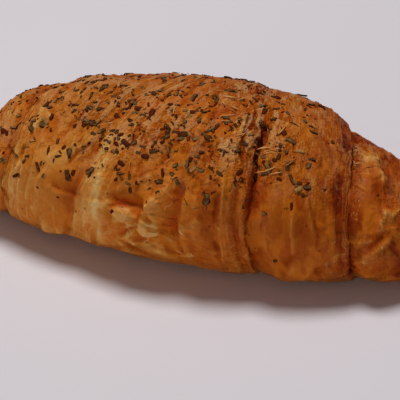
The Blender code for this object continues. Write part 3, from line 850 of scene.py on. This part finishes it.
    # its finest relief
    scale, softness = crustLook["blister"]
    inlets = {"Vector": place, "Scale": scale, "Smoothness": softness}
    blister = wire.node("TexVoronoi", {"feature": "SMOOTH_F1"}, inlets)
    height = fine * bumpOf["fine"] + grain("gravel") * bumpOf["gravel"]
    height = height + (hair + streak) * by(rough, bumpOf["streak"]) + lines * by(lip, bumpOf["lines"])
    height = height + skin * rough * bumpOf["skin"] + scraps * by(rough, bumpOf["scraps"])
    height = height + panel * (crumple * (1.1 - rough) * bumpOf["panel"])
    height = height + facet * (crumple * bumpOf["facet"]) + flake * (rough * bumpOf["flake"])
    height = height + creases * crumple * bumpOf["crease"] - blister * bumpOf["blister"]
    height = height - specks * bumpOf["speck"]
    bump = wire.node("Bump", {}, {"Strength": 1.0, "Distance": 0.001, "Height": height})
    bump.into(shader.inputs["Normal"])
    return material


crustPiece, crustShift = makeCrust()
crustPiece.data.materials.append(crustMaterial())
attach(crustPiece, "root")
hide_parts("croissant")


skin = BVHTree.FromPolygons([point.co for point in crustPiece.data.vertices],
                            [face.vertices for face in crustPiece.data.polygons])


def placeOn(meridian, degrees):  # a place on the roll's plain form
    return Vector(surface(np.array(meridian), np.array(math.radians(degrees)))) + Vector(crustShift)


def lieOn(draw, normal):  # flat on the skin, turned at random
    spin = Matrix.Rotation(draw.uniform(0, 2 * math.pi), 3, "Z")
    return normal.to_track_quat("Z", "Y").to_matrix() @ spin


def addBit(points, faces, place, lie, corners, sides):  # one more loose bit in a mesh
    first = len(points)
    points.extend(tuple(place + lie @ Vector(corner)) for corner in corners)
    faces.extend(tuple(first + index for index in side) for side in sides)


def ringFaces(first, count):  # between a ring of points and the next one
    steps = [(k, (k + 1) % count) for k in range(count)]
    return [(first + a, first + b, first + count + b, first + count + a) for a, b in steps]


shards = {
    "seed": 3, "stations": 7, "thick": 0.00012, "width": (0.06, 0.14), "lift": 0.0003, "bow": 0.07,
    "taper": (0.15, 0.8), "ragged": (0.5, 1.3), "ridge": 0.3, "turned": 25, "tones": (0.0, 0.6),
    # where some lie: share along, degrees, reach in metres, how many, their length, where they point
    "groups": [
        (0.160, 40, 0.0040, 5, (0.0035, 0.0085), 10), (0.150, 27, 0.0036, 5, (0.0030, 0.0065), -60),
        (0.205, 44, 0.0050, 5, (0.0025, 0.0050), 30), (0.060, 14, 0.0040, 5, (0.0030, 0.0070), 5),
        (0.010, 2, 0.0060, 5, (0.0030, 0.0065), 20), (0.092, 28, 0.0030, 4, (0.0025, 0.0055), 80),
        (0.400, 10, 0.0050, 4, (0.0020, 0.0045), 15), (-0.110, 30, 0.0200, 8, (0.0020, 0.0045), 60),
        (-0.280, 30, 0.0160, 6, (0.0020, 0.0045), 60), (-0.080, -30, 0.0300, 10, (0.0020, 0.0050), 70),
    ],
    # crumbs of skin along the edges: side, edge, degrees, metres past it, how many, their length
    "crumbs": [
        (+1, 1, (-30, 66), (0.0006, 0.0034), 150, (0.0004, 0.0011)),
        (+1, 0, (48, 98), (-0.0012, -0.0003), 60, (0.0003, 0.0010)),
        (+1, 0, (50, 84), (0.0018, 0.0030), 30, (0.0003, 0.0008)),
        (-1, 1, (40, 95), (-0.0008, 0.0010), 30, (0.0003, 0.0009)),
    ],
    "crumbFlat": (0.6, 0.4), "crumbTones": (0.4, 1.2),
}


def shardShape(draw, length):  # a curved sliver of skin, thin and lifted at one end: points and faces
    width = length * draw.uniform(*shards["width"]) / 2
    bow, lift = draw.normal() * shards["bow"] * length, abs(draw.normal()) * shards["lift"]
    least, power = shards["taper"]
    points = []
    for number in range(shards["stations"]):
        share = number / (shards["stations"] - 1)
        half = width * (least + math.sin(math.pi * share) ** power) * draw.uniform(*shards["ragged"])
        x, middle = length * (share - 0.5), bow * 4 * share * (1 - share)
        z = lift * share * share
        ridge = z + half * shards["ridge"]
        points += [(x, middle + half, z), (x, middle, ridge + shards["thick"]),
                   (x, middle - half, z), (x, middle, ridge - shards["thick"])]
    faces = []
    for number in range(shards["stations"] - 1):
        faces += ringFaces(4 * number, 4)
    return points, faces + [(3, 2, 1, 0), tuple(len(points) - 4 + k for k in range(4))]


def crumbShape(draw, length):  # a grain of broken leaf or skin
    points = [tuple(draw.uniform(0.5, 1.0, 3) * length / 2 * np.array(corner))
              for corner in ((1, 0, 0), (0, 1, 0), (-1, 0, 0), (0, -1, 0), (0, 0, 0.8), (0, 0, -0.8))]
    faces = [(4, k, (k + 1) % 4) for k in range(4)] + [(5, (k + 1) % 4, k) for k in range(4)]
    return points, faces, [0.25] * 6


def makeShards():
    draw = np.random.default_rng(shards["seed"])
    points, faces, tones = [], [], []
    for meridian, degrees, reach, count, lengths, heading in shards["groups"]:
        middle = placeOn(meridian, degrees)
        for _ in range(count):
            spot, normal, _, _ = skin.find_nearest(middle + Vector(draw.normal(size=3) * reach / 2))
            ahead = Vector((1, 0, 0)).cross(normal).cross(normal) * -1
            lie = Matrix((ahead.normalized(), normal.cross(ahead).normalized(), normal)).transposed()
            turned = math.radians(heading + draw.normal() * shards["turned"])
            lie = lie @ Matrix.Rotation(turned, 3, "Z")
            corners, sides = shardShape(draw, draw.uniform(*lengths))
            addBit(points, faces, spot + normal * shards["thick"], lie, corners, sides)
            tones += [draw.uniform(*shards["tones"])] * len(corners)
    for side, number, turns, away, count, lengths in shards["crumbs"]:
        for _ in range(count):
            degrees = draw.uniform(*turns)
            place = edgePlaces(side, math.radians(degrees) / (math.pi / 2))[number]
            along = alongMetres(place) + draw.uniform(*away)
            meridian = side * math.asin(along * 2 / roll["length"]) * 2 / math.pi
            spot, normal, _, _ = skin.find_nearest(placeOn(meridian, degrees))
            corners, sides, _ = crumbShape(draw, draw.uniform(*lengths))
            narrow, flat = shards["crumbFlat"]
            corners = [(x, y * narrow, z * flat) for x, y, z in corners]
            tones += [draw.uniform(*shards["crumbTones"])] * len(corners)
            addBit(points, faces, spot, lieOn(draw, normal), corners, sides)
    print("shards", len(faces), "faces")
    return newPiece("shards", points, faces, {"tone": tones})


shardLook = {
    "pale": (0.80, 0.38, 0.11), "deep": (0.58, 0.17, 0.022), "deeper": 0.15, "patchScale": 320,
    "roughness": 0.45, "specular": 0.15, "bump": 0.6, "bumpHeight": 0.0002,
}


def shardMaterial():
    material, wire, shader = newMaterial("shard")
    place = wire.node("TexCoord", {}, {}, 3)
    patch = wire.node("TexNoise", {}, {"Vector": place, "Scale": shardLook["patchScale"], "Detail": 4})
    tone = wire.node("Attribute", {"attribute_name": "tone"}, {}, 2) + shardLook["deeper"]
    colour = (tone + patch * 2 - 1.0).between(0.0, 1.0).tint(shardLook["pale"], shardLook["deep"])
    colour.into(shader.inputs["Base Color"])
    shader.inputs["Roughness"].default_value = shardLook["roughness"]
    shader.inputs["Specular IOR Level"].default_value = shardLook["specular"]
    inlets = {"Strength": shardLook["bump"], "Distance": shardLook["bumpHeight"], "Height": patch}
    wire.node("Bump", {}, inlets).into(shader.inputs["Normal"])
    return material


shardPiece = makeShards()
shardPiece.data.materials.append(shardMaterial())
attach(shardPiece, "root")
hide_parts("croissant")


herbs = {
    "seed": 11, "tries": 60000, "spread": (1.4, 2.9),  # of the lengths, as a beta distribution
    # leaf, stem and crumbs: how many, their sizes, how far apart, and their shares of the tones
    "leaf": {"count": 620, "length": (0.0011, 0.0044), "apart": 1.0, "mix": (0.24, 0.72, 0.04),
             "width": (0.44, 0.88), "slimmer": (1.15, 0.4), "thick": (0.00010, 0.00020),
             "curl": 0.15, "cup": 0.16, "cupsDown": 0.72, "blunt": (0.12, 0.50), "stations": 6,
             "ragged": (0.60, 1.10), "shiver": 0.02, "inner": 0.55, "innerRim": 0.25},
    "stem": {"count": 50, "length": (0.0016, 0.0042), "apart": 1.0, "mix": (0.35, 0.45, 0.20),
             "thick": (0.00018, 0.00036), "bend": 0.10, "inner": 0.4},
    "crumb": {"count": 500, "length": (0.0006, 0.0018), "apart": 0.45, "mix": (0.76, 0.12, 0.12)},
    "tones": {"red": (0.0, 0.3), "grey": (0.4, 1.0), "pale": (1.2, 1.7)}, "paleRim": 0.3,
    "spacing": 0.0011, "tilt": 0.12, "lift": (-0.00016, 0.00010),
    "support": (0.4, 0.6),  # where a bit is carried: share of its length, and of that sideways
    "meridians": (-0.86, -0.40, 0.12, 0.37),  # none, full, full and none of the sprinkle
    "turns": (-95.0, -62.0, 58.0, 86.0),  # the same round the roll, in degrees
    "clusters": [(-0.060, 40, 0.020), (-0.085, 55, 0.010), (0.205, 45, 0.009), (0.285, 43, 0.007),
                 (-0.215, 20, 0.014)],
    "base": 0.34, "patch": 0.0060, "patchMiddle": 0.45, "patchStrength": 1.7, "patchLeast": 0.12,
    # the few that lie lower down: share along, degrees, length
    "strays": [(-0.253, 96, 0.0012), (-0.149, 88, 0.0018), (0.212, 107, 0.0021), (-0.118, 76, 0.0024),
               (-0.078, 80, 0.0016), (0.056, 73, 0.0040), (0.048, 70, 0.0013), (-0.300, 88, 0.0011),
               (0.455, 8, 0.0010), (0.436, 38, 0.0010), (-0.361, 84, 0.0012)],
}


def sprinkled(meridian, degrees):  # how thickly the herbs lie at a place, from 0 to 1
    noneLeft, fullLeft, fullRight, noneRight = herbs["meridians"]
    noneBack, fullBack, fullFront, noneFront = herbs["turns"]
    cover = smooth(noneLeft, fullLeft, meridian) * smooth(-noneRight, -fullRight, -meridian)
    cover = cover * smooth(noneBack, fullBack, degrees) * smooth(-noneFront, -fullFront, -degrees)
    x, y = unrolled(meridian, math.radians(degrees))
    near = herbs["base"]
    for middleMeridian, middleDegrees, reach in herbs["clusters"]:
        middleX, middleY = unrolled(middleMeridian, math.radians(middleDegrees))
        near += math.exp(-((x - middleX) ** 2 + (y - middleY) ** 2) / reach**2)
    patchy = noise.noise(Vector((x, y, 0.0)) / herbs["patch"])
    patchy = herbs["patchMiddle"] + herbs["patchStrength"] * patchy
    return cover * min(near, 1.0) * min(1.0, max(herbs["patchLeast"], patchy))


def leafShape(draw, length):  # a dried bit of leaf: points, faces and how near its rim each point is
    leaf = herbs["leaf"]
    full, less = leaf["slimmer"]
    width = length * draw.uniform(*leaf["width"]) * (full - less * length / leaf["length"][1]) / 2
    thick = draw.uniform(*leaf["thick"])
    curl = draw.normal() * leaf["curl"]
    cup = abs(draw.normal()) * leaf["cup"] * (-1 if draw.uniform() < leaf["cupsDown"] else 1)
    blunt = draw.uniform(*leaf["blunt"])
    inner, innerRim, stations = leaf["inner"], leaf["innerRim"], leaf["stations"]
    points, rims = [(-length / 2, 0, curl * length / 4)], [1.0]
    for number in range(1, stations):
        share = 0.5 - math.cos(math.pi * number / stations) / 2
        half = width * math.sin(math.pi * number / stations) ** blunt
        bend = curl * length * (share - 0.5) ** 2
        first, second = draw.uniform(*leaf["ragged"], 2)
        x = length * (share - 0.5) + draw.normal() * length * leaf["shiver"]
        row = ((first, 1.0), (inner, innerRim), (0.0, 0.0), (-inner, innerRim), (-second, 1.0))
        for across, rim in row:
            rise = cup * half * (across * across if cup > 0 else across * across - 1)
            points.append((x, half * across, bend + rise + (thick if rim < 1 else 0)))
            rims.append(rim)
        points.append((x, 0, bend + min(rise, 0) - thick))
        rims.append(0.5)
    points.append((length / 2, 0, curl * length / 4))
    rims.append(1.0)
    faces = [(0, 1 + (k + 1) % 6, 1 + k) for k in range(6)]
    for number in range(stations - 2):
        faces += ringFaces(1 + 6 * number, 6)
    last, end = 1 + 6 * (stations - 2), len(points) - 1
    faces += [(last + k, last + (k + 1) % 6, end) for k in range(6)]
    return points, faces, rims


def stemShape(draw, length):  # a bit of stem, five-sided and slightly bent
    thick = draw.uniform(*herbs["stem"]["thick"]) / 2
    bend = draw.normal() * herbs["stem"]["bend"] * length
    points, faces, rims = [], [], []
    for share in (0.0, 0.33, 0.67, 1.0):
        lift = bend * 4 * share * (1 - share)
        for corner in range(5):
            angle = corner * math.pi * 2 / 5
            across, up = thick * math.cos(angle) + lift, thick * math.sin(angle)
            points.append((length * (share - 0.5), across, up))
            rims.append(share if share in (0.0, 1.0) else herbs["stem"]["inner"])
    for row in range(3):
        faces += ringFaces(5 * row, 5)
    return points, faces + [(4, 3, 2, 1, 0), (15, 16, 17, 18, 19)], rims


bitShapes = {"leaf": leafShape, "stem": stemShape, "crumb": crumbShape}


def makeHerbs():
    draw = np.random.default_rng(herbs["seed"])
    points, faces, rims, tones, laid = [], [], [], [], []

    def lay(kind, length, meridian, degrees):
        spot, normal, _, _ = skin.find_nearest(placeOn(meridian, degrees))
        gap = herbs["spacing"] * herbs[kind]["apart"]
        if any((spot - other).length < gap for other in laid):
            return False
        laid.append(spot)
        corners, sides, rim = bitShapes[kind](draw, length)
        lie = lieOn(draw, normal)
        reach, wide = length * herbs["support"][0], herbs["support"][1]
        below = []  # how high the crust stands under its two ends and two sides
        for ahead, across in ((1, 0), (-1, 0), (0, wide), (0, -wide)):
            start = spot + lie @ Vector((ahead * reach, across * reach, 2 * reach))
            hit = skin.ray_cast(start, -normal, 4 * reach)[0]
            below.append((hit - spot).dot(normal) if hit else -reach)
        pitch = -math.atan((below[0] - below[1]) / (2 * reach)) + draw.normal() * herbs["tilt"]
        heel = math.atan((below[2] - below[3]) / (2 * wide * reach)) + draw.normal() * herbs["tilt"]
        lie = lie @ Matrix.Rotation(pitch, 3, "Y") @ Matrix.Rotation(heel, 3, "X")
        carried = max(0, below[0] + below[1], below[2] + below[3]) / 2
        raised = spot + normal * (carried + draw.uniform(*herbs["lift"]))
        addBit(points, faces, raised, lie, corners, sides)
        tone = draw.choice(list(herbs["tones"]), p=herbs[kind]["mix"])
        tones.extend([draw.uniform(*herbs["tones"][tone])] * len(corners))
        rims.extend(share * (herbs["paleRim"] if tone == "pale" else 1.0) for share in rim)
        return True

    for meridian, degrees, length in herbs["strays"]:
        lay("leaf", length, meridian, degrees)
    tries = 0
    for kind in bitShapes:
        shortest, longest = herbs[kind]["length"]
        for _ in range(herbs[kind]["count"]):
            while tries < herbs["tries"]:
                tries += 1
                meridian = draw.uniform(herbs["meridians"][0], herbs["meridians"][-1])
                degrees = draw.uniform(herbs["turns"][0], herbs["turns"][-1])
                if draw.uniform() > sprinkled(meridian, degrees):
                    continue
                length = shortest + (longest - shortest) * draw.beta(*herbs["spread"])
                if lay(kind, length, meridian, degrees):
                    break
    print("herbs", len(laid), "bits", len(faces), "faces")
    return newPiece("herbs", points, faces, {"rim": rims, "tone": tones})


herbLook = {
    "leaf": [(0.0, screen(90, 29, 7)), (0.4, screen(84, 49, 22)), (0.75, screen(124, 98, 60)),
             (1.0, screen(182, 126, 66))],
    "rim": screen(46, 16, 3), "veinScale": 900, "toneShare": 0.70, "veinTone": 1.6, "veinRim": 1.2,
    "roughness": 0.6, "specular": 0.04, "bump": 0.5, "bumpHeight": 0.0003,
}


def herbMaterial():
    material, wire, shader = newMaterial("herb")
    place = wire.node("TexCoord", {}, {}, 3)
    inlets = {"Vector": place, "Scale": herbLook["veinScale"], "Detail": 3}
    veins = wire.node("TexNoise", {}, inlets) - 0.5
    rim = wire.node("Attribute", {"attribute_name": "rim"}, {}, 2)
    tone = wire.node("Attribute", {"attribute_name": "tone"}, {}, 2)
    tone = tone * herbLook["toneShare"] + veins * herbLook["veinTone"]
    colour = wire.node("ValToRGB", {"stops": herbLook["leaf"]}, {0: tone})
    dark = (rim + veins * herbLook["veinRim"] - 0.05).between(0.0, 0.75)
    dark.tint(colour, herbLook["rim"]).into(shader.inputs["Base Color"])
    shader.inputs["Roughness"].default_value = herbLook["roughness"]
    shader.inputs["Specular IOR Level"].default_value = herbLook["specular"]
    inlets = {"Strength": herbLook["bump"], "Distance": herbLook["bumpHeight"], "Height": veins}
    wire.node("Bump", {}, inlets).into(shader.inputs["Normal"])
    return material


herbPiece = makeHerbs()
herbPiece.data.materials.append(herbMaterial())
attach(herbPiece, "root")
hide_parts("croissant")


view = {  # in degrees, metres and pixels, the sensor in millimetres
    "elevation": 35.3, "yaw": -16.95, "distance": 0.597, "aim": (0.0, 0.0, 0.027), "clip": (0.01, 20),
    "focal": 1780.0, "picture": 400.0, "aimPixel": (209.96, 166.784), "sensor": 36.0,
}


def makeCamera():
    lens = bpy.data.cameras.new("camera")
    lens.sensor_width = view["sensor"]
    lens.lens = view["focal"] / view["picture"] * view["sensor"]
    lens.clip_start, lens.clip_end = view["clip"]
    tilt, yaw = math.radians(view["elevation"]), math.radians(view["yaw"])
    turnBack = Matrix.Rotation(-yaw, 3, "Z")
    forward = turnBack @ Vector((0, math.cos(tilt), -math.sin(tilt)))
    right = turnBack @ Vector((1, 0, 0))
    up = right.cross(forward)
    half = view["picture"] / 2
    ray = forward + right * ((view["aimPixel"][0] - half) / view["focal"])
    ray = ray - up * ((view["aimPixel"][1] - half) / view["focal"])
    camera = bpy.data.objects.new("camera", lens)
    axes = Matrix((right, up, -forward)).transposed().to_4x4()
    camera.matrix_world = Matrix.Translation(Vector(view["aim"]) - ray * view["distance"]) @ axes
    bpy.context.scene.collection.objects.link(camera)
    bpy.context.scene.camera = camera


studio = {
    "floor": screen(234, 229, 233), "floorSize": 6, "floorRoughness": 0.7,
    "world": 0.10, "worldColour": (1.0, 0.985, 1.0),
    "key": {"place": (-0.12, 0.15, 1.00), "size": 0.34, "power": 6.8, "colour": (1, 0.99, 1)},
    "fill": {"place": (-0.34, -1.10, 0.12), "size": 0.7, "power": 3.2, "colour": (1, 0.93, 0.86)},
}


def makeLight(name, setting):
    lamp = bpy.data.lights.new(name, "AREA")
    lamp.shape = "DISK"
    lamp.size = setting["size"]
    lamp.energy = setting["power"]
    lamp.color = setting["colour"]
    light = bpy.data.objects.new(name, lamp)
    light.location = setting["place"]
    light.rotation_euler = (-Vector(setting["place"])).to_track_quat("-Z", "Y").to_euler()
    bpy.context.scene.collection.objects.link(light)


def makeStudio():
    bpy.ops.mesh.primitive_plane_add(size=studio["floorSize"], location=(0, 0, 0))
    floor = bpy.context.object
    floor.name = "floor"
    material, _, shader = newMaterial("floor")
    shader.inputs["Base Color"].default_value = (*studio["floor"], 1)
    shader.inputs["Roughness"].default_value = studio["floorRoughness"]
    floor.data.materials.append(material)
    makeLight("key", studio["key"])
    makeLight("fill", studio["fill"])
    world = bpy.data.worlds.new("studio")
    world.use_nodes = True
    background = world.node_tree.nodes["Background"]
    background.inputs["Color"].default_value = (*studio["worldColour"], 1)
    background.inputs["Strength"].default_value = studio["world"]
    bpy.context.scene.world = world
    bpy.context.scene.view_settings.view_transform = "Standard"


makeCamera()
makeStudio()
print("studio lit")
